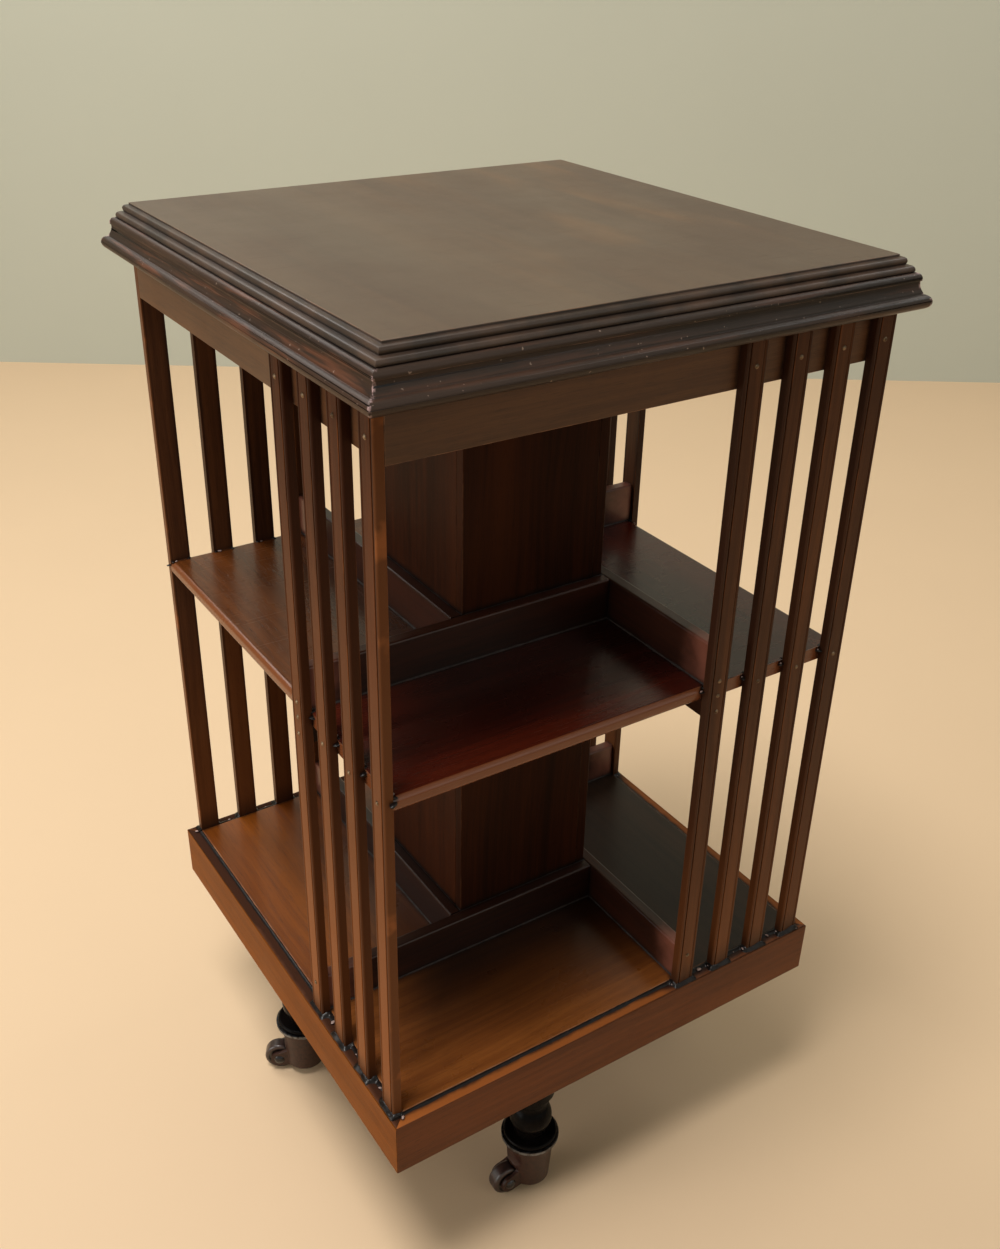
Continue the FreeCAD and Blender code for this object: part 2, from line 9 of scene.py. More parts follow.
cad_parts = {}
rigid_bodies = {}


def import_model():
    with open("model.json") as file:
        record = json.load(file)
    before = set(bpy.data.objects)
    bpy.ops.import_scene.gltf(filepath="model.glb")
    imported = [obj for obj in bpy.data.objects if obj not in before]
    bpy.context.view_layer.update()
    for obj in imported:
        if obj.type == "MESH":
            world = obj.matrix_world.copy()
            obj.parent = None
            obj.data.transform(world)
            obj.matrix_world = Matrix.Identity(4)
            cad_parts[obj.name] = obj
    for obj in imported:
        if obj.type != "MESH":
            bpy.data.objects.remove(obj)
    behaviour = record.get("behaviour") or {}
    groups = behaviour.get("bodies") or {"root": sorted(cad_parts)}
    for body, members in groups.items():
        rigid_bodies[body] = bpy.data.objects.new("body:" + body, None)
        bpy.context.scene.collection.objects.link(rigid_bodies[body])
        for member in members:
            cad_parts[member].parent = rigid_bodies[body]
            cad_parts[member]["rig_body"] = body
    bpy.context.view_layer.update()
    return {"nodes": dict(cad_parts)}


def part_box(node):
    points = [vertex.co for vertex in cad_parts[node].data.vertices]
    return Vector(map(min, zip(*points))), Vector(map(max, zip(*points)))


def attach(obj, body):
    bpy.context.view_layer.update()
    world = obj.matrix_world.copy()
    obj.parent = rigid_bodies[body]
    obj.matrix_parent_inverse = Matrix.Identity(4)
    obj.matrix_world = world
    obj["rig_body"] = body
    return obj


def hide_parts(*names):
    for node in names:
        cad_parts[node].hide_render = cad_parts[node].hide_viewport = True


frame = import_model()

# A revolving bookcase in dark, french-polished mahogany, with old wax and painted shade in its
# corners, wear along its arrises, and lit and shaded copies of some finishes. Metres, in the frame of
# the solids.

MM = 0.001
SIDES = ("front", "right", "back", "left")
TURNS = {side: math.radians(90.0 * number) for number, side in enumerate(SIDES)}

# Levels and half sizes, read from the solids
CASE_HALF = -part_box("shelf_board_front")[0].x
PLINTH_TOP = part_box("plinth_rail_front")[1].z
FLOOR_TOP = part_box("floor_board_front")[1].z
SHELF_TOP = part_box("shelf_board_front")[1].z
FRIEZE_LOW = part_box("frieze_rail_front")[0].z
SLAT_LOW, SLAT_HIGH = (corner.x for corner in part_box("slats_front"))
SLAT_FACE = -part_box("slats_front")[0].y
TOP_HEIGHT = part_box("top_board")[1].z

# Sizes of the solids that their boxes do not give
SLAT_WIDTH = 0.020
SLAT_PITCH = (SLAT_HIGH - SLAT_LOW - SLAT_WIDTH) / 3
SLAT_CENTRES = [SLAT_LOW + SLAT_WIDTH / 2 + number * SLAT_PITCH for number in range(4)]
SLAT_THICKNESS = SLAT_FACE - CASE_HALF
RIM_HEIGHT = 0.009
RIM_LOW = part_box("castor_horn_front")[1].z - RIM_HEIGHT
COLUMN_HALF = 0.0725
CURB_FACE = 0.0845
CURB_HEIGHT = 0.039


def shade(red, green, blue):
    """A colour written as it looks on a screen, 0 to 255, as linear light."""
    linear = []
    for level in (red, green, blue):
        level = level / 255
        linear.append(level / 12.92 if level <= 0.04045 else ((level + 0.055) / 1.055) ** 2.4)
    return (*linear, 1.0)


# Node helpers

def put(tree, kind, wired=None, **settings):
    """Adds a shader node. wired gives a socket or a plain value for each named input."""
    made = tree.nodes.new("ShaderNode" + kind)
    for key, value in settings.items():
        setattr(made, key, value)
    for key, value in (wired or {}).items():
        if isinstance(value, bpy.types.NodeSocket):
            tree.links.new(value, made.inputs[key])
        else:
            made.inputs[key].default_value = value
    return made


def maths(tree, operation, first, second=0.0):
    return put(tree, "Math", {0: first, 1: second}, operation=operation).outputs[0]


def ramp(tree, value, low, high):
    """0 below low, 1 above high, with a smooth step between them."""
    made = put(tree, "MapRange", {0: value, 1: low, 2: high}, interpolation_type="SMOOTHSTEP")
    return made.outputs[0]


def fall(tree, value, low, high):
    """1 below low, 0 above high, with a smooth step between them."""
    return maths(tree, "SUBTRACT", 1.0, ramp(tree, value, low, high))


def mix(tree, factor, first, second, mode="MIX"):
    wired = {0: factor, 6: first, 7: second}
    return put(tree, "Mix", wired, data_type="RGBA", blend_type=mode).outputs[2]


def tinted(tree, colour, tint, mask, amount):
    """A colour turned towards a tint where the mask is 1, by no more than the amount."""
    return mix(tree, maths(tree, "MULTIPLY", mask, amount), colour, tint)


def position(tree):
    """Where a point lies, in the frame of the solids."""
    return put(tree, "TexCoord").outputs["Object"]


def component(tree, vector, axis):
    return put(tree, "SeparateXYZ", {0: vector}).outputs[axis]


def stored(tree, name, output="Fac"):
    """One of the attributes that the pieces carry: grain, arris or edge."""
    return put(tree, "Attribute", attribute_name=name).outputs[output]


def stretched(tree, vector, along, across):
    """Coordinates for a pattern drawn out along the grain."""
    factors = (along, across, across)
    return put(tree, "VectorMath", {0: vector, 1: factors}, operation="MULTIPLY").outputs[0]


def cloud(tree, vector, scale, detail=2.0, roughness=0.5, distortion=0.0):
    wired = {"Vector": vector, "Scale": scale, "Detail": detail, "Roughness": roughness,
             "Distortion": distortion}
    return put(tree, "TexNoise", wired).outputs[0]


def group_tree(name, inputs, outputs):
    """An empty node group with its sockets, its entry and its way out."""
    tree = bpy.data.node_groups.new(name, "ShaderNodeTree")
    for label, kind in inputs.items():
        tree.interface.new_socket(label, in_out="INPUT", socket_type="NodeSocket" + kind)
    for label, kind in outputs.items():
        tree.interface.new_socket(label, in_out="OUTPUT", socket_type="NodeSocket" + kind)
    return tree, tree.nodes.new("NodeGroupInput").outputs, tree.nodes.new("NodeGroupOutput").inputs


def use(tree, group, **wired):
    """Places a node group in a material and wires its inputs, named with _ for a space."""
    made = put(tree, "Group", node_tree=group)
    for key, value in wired.items():
        target = made.inputs[key.replace("_", " ")]
        if isinstance(value, bpy.types.NodeSocket):
            tree.links.new(value, target)
        else:
            target.default_value = value
    return made.outputs


# Effects that several finishes share

PORE_SHADE = (0.35, 0.35, 0.35, 1.0)


def make_grain():
    """Mahogany figure: slow bands, streaks, fine lines and open pores, all along the grain."""
    tree, entry, leave = group_tree(
        "mahogany grain",
        {"Vector": "Vector", "Pale": "Color", "Dark": "Color", "Glow": "Color",
         "Figure": "Float", "Pores": "Float"},
        {"Color": "Color", "Height": "Float"})
    vector = entry["Vector"]
    bend = cloud(tree, stretched(tree, vector, along=2.0, across=7.0), scale=1.0)
    shift = put(tree, "CombineXYZ", {"Y": maths(tree, "MULTIPLY", bend, 0.05)}).outputs[0]
    bent = put(tree, "VectorMath", {0: vector, 1: shift}, operation="ADD").outputs[0]
    bands = cloud(tree, stretched(tree, bent, along=1.7, across=17.0), scale=1.0, detail=3.0,
                  roughness=0.55, distortion=0.3)
    streaks = cloud(tree, stretched(tree, bent, along=5.0, across=170.0), scale=1.0, detail=4.0,
                    roughness=0.62)
    lines = cloud(tree, stretched(tree, bent, along=26.0, across=1100.0), scale=1.0)
    pores = cloud(tree, stretched(tree, vector, along=75.0, across=2300.0), scale=1.0, detail=1.0)
    flecks = ramp(tree, pores, 0.60, 0.72)
    tone = maths(tree, "ADD", maths(tree, "MULTIPLY", bands, 0.48),
                 maths(tree, "MULTIPLY", streaks, 0.36))
    tone = maths(tree, "ADD", tone, maths(tree, "MULTIPLY", lines, 0.16))
    colour = mix(tree, ramp(tree, tone, 0.36, 0.64), entry["Dark"], entry["Pale"])
    colour = tinted(tree, colour, entry["Glow"], ramp(tree, bands, 0.50, 0.72), entry["Figure"])
    hollow = mix(tree, 1.0, entry["Dark"], PORE_SHADE, "MULTIPLY")
    tree.links.new(tinted(tree, colour, hollow, flecks, entry["Pores"]), leave["Color"])
    height = maths(tree, "SUBTRACT", maths(tree, "MULTIPLY", streaks, 0.6), flecks)
    tree.links.new(height, leave["Height"])
    return tree


def make_wear():
    """Polish rubbed through along the softened arrises, in patches."""
    tree, entry, leave = group_tree(
        "rubbed arris", {"Color": "Color", "Bare": "Color", "Amount": "Float"},
        {"Color": "Color", "Mask": "Float"})
    patches = cloud(tree, position(tree), scale=34.0, detail=4.0, roughness=0.6)
    rubbed = maths(tree, "MULTIPLY", stored(tree, "arris"), ramp(tree, patches, 0.40, 0.62))
    mask = maths(tree, "MULTIPLY", rubbed, entry["Amount"])
    tree.links.new(mix(tree, mask, entry["Color"], entry["Bare"]), leave["Color"])
    tree.links.new(mask, leave["Mask"])
    return tree


def make_wax_and_painted_shade():
    """Old wax and dirt gathered in inner corners and along joints, and painted shade in hollows."""
    tree, entry, leave = group_tree(
        "old wax in corners",
        {"Color": "Color", "Wax": "Color", "Reach": "Float", "Amount": "Float"},
        {"Color": "Color"})
    # Ambient occlusion drives the mask, so hollows, coves and creases get painted shade as well as
    # wax.
    openness = put(tree, "AmbientOcclusion", {"Distance": entry["Reach"]}, samples=6).outputs["AO"]
    ragged = cloud(tree, position(tree), scale=90.0, detail=3.0, roughness=0.6)
    depth = maths(tree, "MULTIPLY", maths(tree, "SUBTRACT", 1.0, openness),
                  maths(tree, "ADD", ragged, 0.5))
    corner_mask = ramp(tree, depth, 0.12, 0.50)
    tree.links.new(tinted(tree, entry["Color"], entry["Wax"], corner_mask, entry["Amount"]),
                   leave["Color"])
    return tree


def make_polish():
    """Roughness of handled french polish: cloudy rubbing, fine scratches, a few dull spots."""
    tree, entry, leave = group_tree(
        "handled polish", {"Roughness": "Float", "Variation": "Float", "Scratches": "Float"},
        {"Roughness": "Float", "Height": "Float"})
    place = position(tree)
    rubbing = cloud(tree, place, scale=11.0, detail=4.0, roughness=0.6)
    rubbing = maths(tree, "SUBTRACT", rubbing, 0.5)
    turned = put(tree, "Mapping", {"Vector": place, "Rotation": (0.6, 0.5, 0.7),
                                   "Scale": (30.0, 900.0, 900.0)}).outputs[0]
    scratch = ramp(tree, cloud(tree, turned, scale=1.0, detail=1.0), 0.68, 0.74)
    scratch = maths(tree, "MULTIPLY", scratch, entry["Scratches"])
    level = maths(tree, "ADD", entry["Roughness"],
                  maths(tree, "MULTIPLY", rubbing, entry["Variation"]))
    level = maths(tree, "ADD", level, maths(tree, "MULTIPLY", scratch, 0.25))
    tree.links.new(level, leave["Roughness"])
    tree.links.new(maths(tree, "SUBTRACT", maths(tree, "MULTIPLY", rubbing, 0.8), scratch),
                   leave["Height"])
    return tree


GRAIN = make_grain()
WEAR = make_wear()
WAX_AND_PAINTED_SHADE = make_wax_and_painted_shade()
POLISH = make_polish()

# The colour of old wax, also painted into hollows as shade.
WAX_AND_SHADE_COLOUR = shade(20, 15, 14)


def blank_material(name):
    made = bpy.data.materials.new(name)
    made.use_nodes = True
    tree = made.node_tree
    return made, tree, tree.nodes["Principled BSDF"].inputs


def bump(tree, height, strength, distance):
    wired = {"Height": height, "Strength": strength, "Distance": distance}
    return put(tree, "Bump", wired).outputs[0]


def mahogany(name, pale, dark, glow, bare, roughness=0.42, coat=0.15, figure=0.5, pores=0.5,
             wear=0.7, wax_and_shade=0.9, reach=0.007, gloss=0.3, marks=()):
    """A polished mahogany finish. The grain follows the attribute that each board carries."""
    made, tree, shader = blank_material(name)
    vector = stored(tree, "grain", "Vector")
    grain = use(tree, GRAIN, Vector=vector, Pale=pale, Dark=dark, Glow=glow, Figure=figure,
                Pores=pores)
    colour = grain["Color"]
    for mark in marks:
        colour = mark(tree, colour)
    worn = use(tree, WEAR, Color=colour, Bare=bare, Amount=wear)
    darkened_in_corners = use(tree, WAX_AND_PAINTED_SHADE, Color=worn["Color"], Wax=WAX_AND_SHADE_COLOUR, Reach=reach, Amount=wax_and_shade)
    polish = use(tree, POLISH, Roughness=roughness, Variation=0.22, Scratches=0.35)
    level = maths(tree, "ADD", polish["Roughness"], maths(tree, "MULTIPLY", worn["Mask"], 0.15))
    height = maths(tree, "ADD", maths(tree, "MULTIPLY", grain["Height"], 0.7),
                   maths(tree, "MULTIPLY", polish["Height"], 0.5))
    tree.links.new(darkened_in_corners["Color"], shader["Base Color"])
    tree.links.new(level, shader["Roughness"])
    tree.links.new(bump(tree, height, strength=0.35, distance=0.00012), shader["Normal"])
    shader["Specular IOR Level"].default_value = gloss
    shader["Coat Weight"].default_value = coat
    shader["Coat Roughness"].default_value = 0.22
    return made


def spotted(name, colour, spots, roughness, metallic=1.0, wear=0.4, bright=None, coat=0.0,
            wax_and_shade=0.8, gloss=0.5, marks=()):
    """A spotted finish, brighter where it is rubbed. It is a metal unless metallic is lower."""
    made, tree, shader = blank_material(name)
    place = position(tree)
    patch = ramp(tree, cloud(tree, place, scale=260.0, detail=4.0, roughness=0.65), 0.42, 0.66)
    base = mix(tree, patch, colour, spots)
    for mark in marks:
        base = mark(tree, base)
    worn = use(tree, WEAR, Color=base, Bare=bright or colour, Amount=wear)
    darkened_in_corners = use(tree, WAX_AND_PAINTED_SHADE, Color=worn["Color"], Wax=WAX_AND_SHADE_COLOUR, Reach=0.004, Amount=wax_and_shade)
    polish = use(tree, POLISH, Roughness=roughness, Variation=0.3, Scratches=0.5)
    tree.links.new(darkened_in_corners["Color"], shader["Base Color"])
    tree.links.new(polish["Roughness"], shader["Roughness"])
    tree.links.new(bump(tree, polish["Height"], strength=0.3, distance=0.0001), shader["Normal"])
    shader["Metallic"].default_value = metallic
    shader["Specular IOR Level"].default_value = gloss
    shader["Coat Weight"].default_value = coat
    return made


# Marks of age, and painted light and shade, that only some finishes have. Each takes a colour and
# gives it back changed.
# A pair of measures, in metres except for FACING_UP, says where a smooth step begins and ends.

MITRE_CHIPS = (0.0003, 0.0026)
FLARED_HALF = (-0.12, 0.10)
SHADED_BACK = (0.11, CASE_HALF + 0.01)
CURB_END = (0.20, 0.242)
NEAR_SLATS = (SLAT_LOW - 0.02, SLAT_LOW)
FACING_UP = (0.75, 0.9)
LEDGE_BLEND = 0.0055
RIM_BLEND = 0.003
FOOT_DARKENING_HEIGHT = 0.030
SLAT_BEAD = (SLAT_WIDTH / 2 - 0.0034, SLAT_WIDTH / 2 - 0.0016)
CORNER_BEAD = (CASE_HALF - 0.0020, CASE_HALF - 0.0006)


def off_axis(tree, place):
    """Distances from the middle of the case along X and along Y."""
    parts = put(tree, "SeparateXYZ", {0: place}).outputs
    return maths(tree, "ABSOLUTE", parts["X"]), maths(tree, "ABSOLUTE", parts["Y"])


def ragged_reach(tree, place, scale, detail, roughness, depth):
    """Distance out from the middle of the case, made ragged so that a mark's edge wanders."""
    outer = maths(tree, "MAXIMUM", *off_axis(tree, place))
    ragged = maths(tree, "MULTIPLY", cloud(tree, place, scale, detail, roughness), depth)
    return maths(tree, "ADD", outer, ragged)


def worn_mouldings(amount):
    """Warm streaks rubbed along the mouldings, and chipped polish at their mitres."""
    def mark(tree, colour):
        place = position(tree)
        gap = maths(tree, "ABSOLUTE", maths(tree, "SUBTRACT", *off_axis(tree, place)))
        near = fall(tree, gap, *MITRE_CHIPS)
        chips = ramp(tree, cloud(tree, place, scale=240.0, detail=3.0, roughness=0.7), 0.44, 0.60)
        drawn = stretched(tree, stored(tree, "grain", "Vector"), along=9.0, across=130.0)
        streaks = ramp(tree, cloud(tree, drawn, scale=1.0, detail=3.0, roughness=0.6), 0.50, 0.66)
        colour = tinted(tree, colour, shade(108, 66, 45), streaks, amount)
        specks = ramp(tree, cloud(tree, place, scale=330.0, detail=1.0), 0.74, 0.78)
        colour = tinted(tree, colour, shade(158, 136, 122), specks, 0.6)
        return tinted(tree, colour, shade(176, 148, 146), near, chips)
    return mark


def top_painted_haze_and_flares(tree, colour):
    """A grey haze painted into the top, a painted reflection of the pale wall in its polish, and warm
    flares in streaks across its right half.
    """
    place = position(tree)
    haze = cloud(tree, stretched(tree, place, along=7.0, across=2.0), scale=1.0, detail=3.0)
    # Painted reflection: the grey haze.
    colour = tinted(tree, colour, shade(96, 80, 62), ramp(tree, haze, 0.35, 0.65), 0.35)
    pull = put(tree, "Mapping", {"Vector": place, "Scale": (11.0, 2.6, 9.0)}).outputs[0]
    flare = cloud(tree, pull, scale=1.0, detail=3.0, roughness=0.55, distortion=0.4)
    right_half = ramp(tree, component(tree, place, "X"), *FLARED_HALF)
    flare = maths(tree, "MULTIPLY", ramp(tree, flare, 0.50, 0.72), right_half)
    return tinted(tree, colour, shade(122, 84, 46), flare, 0.5)


def shaded_back(amount):
    """A board darkened towards the column: painted shade where the shelf above keeps the light off,
    and partly old polish darkened where books stood.
    """
    def mark(tree, colour):
        reach = ragged_reach(tree, position(tree), scale=9.0, detail=2.0, roughness=0.5, depth=0.03)
        inside = fall(tree, reach, *SHADED_BACK)
        return tinted(tree, colour, shade(26, 13, 7), inside, amount)
    return mark


def rubbed_nosing(tree, colour):
    """The rounded edge of a shelf, rubbed browner and paler than its top."""
    return tinted(tree, colour, shade(122, 70, 39), stored(tree, "edge"), 0.8)


def browned_edge(tree, colour):
    """The worked edge of the top, streaked dark brown like the mouldings under it."""
    streaks = cloud(tree, stored(tree, "grain", "Vector"), scale=22.0, detail=3.0, roughness=0.6)
    brown = mix(tree, ramp(tree, streaks, 0.35, 0.65), shade(38, 28, 22), shade(68, 49, 37))
    return tinted(tree, colour, brown, stored(tree, "edge"), 0.9)


def rubbed_curb(tree, colour):
    """A curb's outer end, rubbed pale by years of use."""
    reach = ragged_reach(tree, position(tree), scale=40.0, detail=3.0, roughness=0.6, depth=0.04)
    return tinted(tree, colour, shade(152, 94, 76), ramp(tree, reach, *CURB_END), 0.75)


def waxed_and_shaded_ledge(width, strip):
    """The top of the plinth: black near the case, old wax with painted shade of the gap by the floor
    boards, then polish rubbed to the strip's colour.

    The wax reaches further out, and the strip is browner, where the slats stand.
    """
    def mark(tree, colour):
        place = position(tree)
        parts = put(tree, "SeparateXYZ", {0: place}).outputs
        sideways = maths(tree, "GREATER_THAN", *off_axis(tree, place))
        swing = maths(tree, "MULTIPLY", sideways, maths(tree, "SUBTRACT", parts["Y"], parts["X"]))
        feet = ramp(tree, maths(tree, "ADD", parts["X"], swing), *NEAR_SLATS)
        normal = put(tree, "NewGeometry").outputs["Normal"]
        upward = ramp(tree, component(tree, normal, "Z"), *FACING_UP)
        reach = ragged_reach(tree, place, scale=70.0, detail=3.0, roughness=0.6, depth=0.005)
        reach = maths(tree, "SUBTRACT", reach, maths(tree, "MULTIPLY", feet, 0.004))
        bare = ramp(tree, reach, CASE_HALF + width, CASE_HALF + width + LEDGE_BLEND)
        rim = tinted(tree, strip, shade(84, 52, 38), feet, 0.8)
        # Black near the case: old wax, and painted shade of the gap beside the floor boards.
        ledge = mix(tree, bare, shade(36, 25, 24), rim)
        return tinted(tree, colour, ledge, upward, 0.85)
    return mark


def rim_painted_reflection(tree, colour):
    """The rim of a castor's cup, blue-grey above its brown body: a painted reflection on the metal.
    """
    height = component(tree, position(tree), "Z")
    return mix(tree, ramp(tree, height, RIM_LOW, RIM_LOW + RIM_BLEND), colour, shade(40, 47, 51))


def paler_towards_foot(amount, top):
    """The slats made paler and more orange from a height down to the floor boards, and darker in the
    last 30 mm above them.
    """
    def mark(tree, colour):
        height = component(tree, position(tree), "Z")
        low = fall(tree, height, FLOOR_TOP, top)
        colour = tinted(tree, colour, shade(148, 86, 40), low, amount)
        darker_foot = fall(tree, height, FLOOR_TOP, FLOOR_TOP + FOOT_DARKENING_HEIGHT)
        return tinted(tree, colour, shade(38, 25, 19), darker_foot, 0.6)
    return mark


def shaded_beads_rubbed_corners(tree, colour):
    """The slats' beads and sides darker than the flats, as painted shade, but rubbed pale at the
    case's corners.
    """
    place = position(tree)
    along = maths(tree, "MINIMUM", *off_axis(tree, place))
    off_centre = maths(tree, "PINGPONG", maths(tree, "SUBTRACT", along, SLAT_CENTRES[0]),
                       SLAT_PITCH / 2)
    # Painted shade on the beads and on the sides between the slats.
    colour = tinted(tree, colour, shade(46, 27, 19), ramp(tree, off_centre, *SLAT_BEAD), 0.65)
    corner = ramp(tree, along, *CORNER_BEAD)
    colour = tinted(tree, colour, shade(112, 70, 42), corner, 0.7)
    thin = ramp(tree, cloud(tree, place, scale=22.0, detail=3.0, roughness=0.6), 0.56, 0.68)
    rubbed = maths(tree, "MULTIPLY", corner, thin)
    return tinted(tree, colour, shade(160, 98, 56), rubbed, 0.6)


# The finishes. Each wood names its pale, dark, glowing and rubbed colours, in that order, and
# each spotted finish its own colour and the colour of its spots.

BARE_BROWN = shade(150, 104, 72)
BARE_ROSE = shade(168, 128, 108)

FINISHES = {
    # The top: greyish colours with a painted haze that stands for the pale wall reflected in its
    # polish.
    "top": mahogany("sunned mahogany top", shade(80, 58, 41), shade(69, 50, 36),
                    shade(88, 65, 44), BARE_BROWN, roughness=0.42, coat=0.05, figure=0.2,
                    pores=0.25, wear=0.3, wax_and_shade=0.6, gloss=0.45,
                    marks=(top_painted_haze_and_flares, browned_edge)),
    "moulding": mahogany("dark mahogany moulding", shade(54, 40, 31), shade(31, 24, 19),
                         shade(62, 43, 33), BARE_ROSE, roughness=0.40, coat=0.0, figure=0.3,
                         pores=0.3, wear=0.5, wax_and_shade=1.0, reach=0.012, gloss=0.3,
                         marks=(worn_mouldings(0.2),)),
    # The left and back mouldings: a warmer copy with three times the streaks, partly wear and partly
    # painted light.
    "lit_worn_moulding": mahogany("worn mahogany moulding", shade(60, 42, 31), shade(34, 24, 19),
                              shade(71, 46, 32), BARE_ROSE, roughness=0.42, coat=0.0,
                              figure=0.3, pores=0.3, wear=0.5, wax_and_shade=1.0, reach=0.010,
                              gloss=0.2, marks=(worn_mouldings(0.6),)),
    "frieze": mahogany("brown mahogany frieze", shade(96, 63, 38), shade(70, 43, 26),
                       shade(110, 69, 37), BARE_BROWN, roughness=0.42),
    "slat": mahogany("red-brown mahogany slats", shade(98, 60, 36), shade(68, 41, 26),
                     shade(110, 67, 38), shade(138, 82, 48), roughness=0.38, coat=0.0,
                     wear=0.5, wax_and_shade=0.35, gloss=0.12,
                     marks=(shaded_beads_rubbed_corners, paler_towards_foot(0.25, SHELF_TOP))),
    # The left slats: a paler, more orange copy of the slats painted as lit, paler towards the foot
    # right up to the frieze.
    "lit_slat": mahogany("sunned mahogany slats", shade(84, 45, 25), shade(56, 29, 17),
                         shade(96, 52, 27), shade(144, 86, 46), roughness=0.38, coat=0.0,
                         wear=0.5, wax_and_shade=0.35, gloss=0.06,
                         marks=(paler_towards_foot(0.7, FRIEZE_LOW), shaded_beads_rubbed_corners)),
    # The front and right shelves: a darker, redder copy painted as shade; the back and left: a
    # lighter brown copy painted as lit, with less painted shade towards the column.
    "shelf": mahogany("red mahogany shelf", shade(82, 26, 13), shade(48, 14, 8),
                      shade(100, 36, 14), BARE_BROWN, roughness=0.26, coat=0.3, figure=0.3,
                      marks=(shaded_back(0.7), rubbed_nosing)),
    "brown_shelf": mahogany("brown mahogany shelf", shade(104, 56, 22), shade(74, 38, 15),
                            shade(116, 65, 25), BARE_BROWN, roughness=0.26, coat=0.08,
                            figure=0.3, marks=(shaded_back(0.4), rubbed_nosing)),
    # Floor boards: the left gets a lighter, more orange copy painted as lit, with less painted shade
    # towards the column; the right, deep in shade, a darker copy as painted shade.
    "board": mahogany("orange mahogany boards", shade(138, 80, 34), shade(106, 56, 22),
                      shade(152, 90, 38), BARE_BROWN, roughness=0.30, coat=0.25, figure=0.3,
                      marks=(shaded_back(0.9),)),
    "open_board": mahogany("sunned mahogany boards", shade(127, 68, 19), shade(96, 47, 13),
                           shade(141, 78, 22), BARE_BROWN, roughness=0.30, coat=0.12,
                           figure=0.3, marks=(shaded_back(0.5),)),
    "dark_board": mahogany("dull dark boards", shade(51, 34, 22), shade(32, 22, 14),
                           shade(65, 37, 22), BARE_BROWN, roughness=0.36, coat=0.08,
                           gloss=0.22, figure=0.3, marks=(shaded_back(0.6),)),
    "curb": mahogany("dark mahogany curbs", shade(62, 30, 17), shade(36, 18, 11),
                     shade(74, 36, 19), shade(112, 72, 52), roughness=0.34, wear=0.5,
                     marks=(rubbed_curb,)),
    # The column and its bearers: darker than the case's wood, partly as painted shade inside the
    # case.
    "column": mahogany("dark mahogany column", shade(62, 29, 13), shade(36, 17, 8),
                       shade(74, 36, 15), BARE_BROWN, roughness=0.45, coat=0.0, wear=0.15,
                       gloss=0.08),
    # The front and right plinth rails: a darker brown copy painted as shade; the back and left: a
    # brighter orange copy painted as lit, its whole ledge black with old wax.
    "plinth": mahogany("brown mahogany plinth", shade(110, 61, 31), shade(84, 46, 24),
                       shade(122, 68, 33), shade(160, 98, 56), roughness=0.42, wear=0.6,
                       gloss=0.1, coat=0.05,
                       marks=(waxed_and_shaded_ledge(0.004, shade(156, 88, 40)),)),
    "waxed_plinth": mahogany("orange-brown mahogany plinth", shade(131, 72, 20),
                             shade(107, 57, 16), shade(141, 79, 23), shade(160, 98, 46),
                             roughness=0.42, wear=0.6, gloss=0.03, coat=0.0,
                             marks=(waxed_and_shaded_ledge(0.010, shade(84, 54, 42)),)),
    "inner": mahogany("unpolished inner wood", shade(170, 130, 86), shade(120, 86, 54),
                      shade(186, 146, 98), shade(190, 160, 120), roughness=0.7, coat=0.0,
                      wear=0.2, wax_and_shade=0.6),
    "ebonised": mahogany("ebonised wood", shade(20, 16, 15), shade(9, 8, 8),
                         shade(30, 22, 19), shade(96, 66, 48), roughness=0.24, coat=0.0,
                         figure=0.2, wear=0.4, wax_and_shade=0.5, gloss=0.05),
    "pin": spotted("dull brass pins", shade(132, 112, 90), shade(76, 60, 46), roughness=0.45),
    "steel": spotted("dull steel", shade(120, 124, 130), shade(70, 66, 66), roughness=0.42),
    "brass": spotted("bearing brass", shade(196, 160, 90), shade(140, 104, 58), roughness=0.34),
    "iron": spotted("rough cast iron", shade(70, 68, 66), shade(44, 38, 34), roughness=0.62),
    "horn": spotted("worn brown japanning", shade(58, 33, 24), shade(41, 24, 18), roughness=0.42,
                    metallic=0.0, bright=shade(94, 60, 45), coat=0.05, wax_and_shade=0.4, gloss=0.3,
                    marks=(rim_painted_reflection,)),
    "axle": spotted("blackened axle heads", shade(40, 38, 40), shade(24, 20, 20), roughness=0.25,
                    metallic=0.6, coat=0.4),
    "old_wax": spotted("old black wax", shade(14, 9, 8), shade(26, 18, 16), roughness=0.34,
                       metallic=0.0, wear=0.0, gloss=0.25),
    "crumb": spotted("pale crumbs of old filler", shade(172, 146, 138), shade(120, 94, 86),
                     roughness=0.45, metallic=0.0, wear=0.0),
    "dust": spotted("grey dust packed in joints", shade(52, 40, 35), shade(22, 15, 13), roughness=0.8,
                    metallic=0.0, wear=0.0),
    "wheel": spotted("hard dark wheel wood", shade(56, 38, 34), shade(36, 25, 23), roughness=0.36,
                     metallic=0.0, bright=shade(100, 74, 64), coat=0.3),
}


# Pieces

SOFT_ARRIS = 0.7 * MM
SMALL_ARRIS = 0.4 * MM
SHORTEST_ARRIS = 5 * MM
MERGE_DISTANCE = 0.01 * MM
FLAT_ANGLE = math.radians(0.4)
SMOOTH_ANGLE = math.radians(38)
SHARP_ANGLE = math.radians(40)
ARRIS_SLOPE = 0.995
NOSING_SLOPE = 0.97
Y_AXIS, Z_AXIS = 1, 2
FRIEZE_DEEPER = 5 * MM


def clear():
    """Deselects all, so that an operator acts on the next primitive alone."""
    for thing in list(bpy.context.selected_objects):
        thing.select_set(False)


def only(piece):
    """Selects one piece and nothing else."""
    clear()
    bpy.context.view_layer.objects.active = piece
    piece.select_set(True)


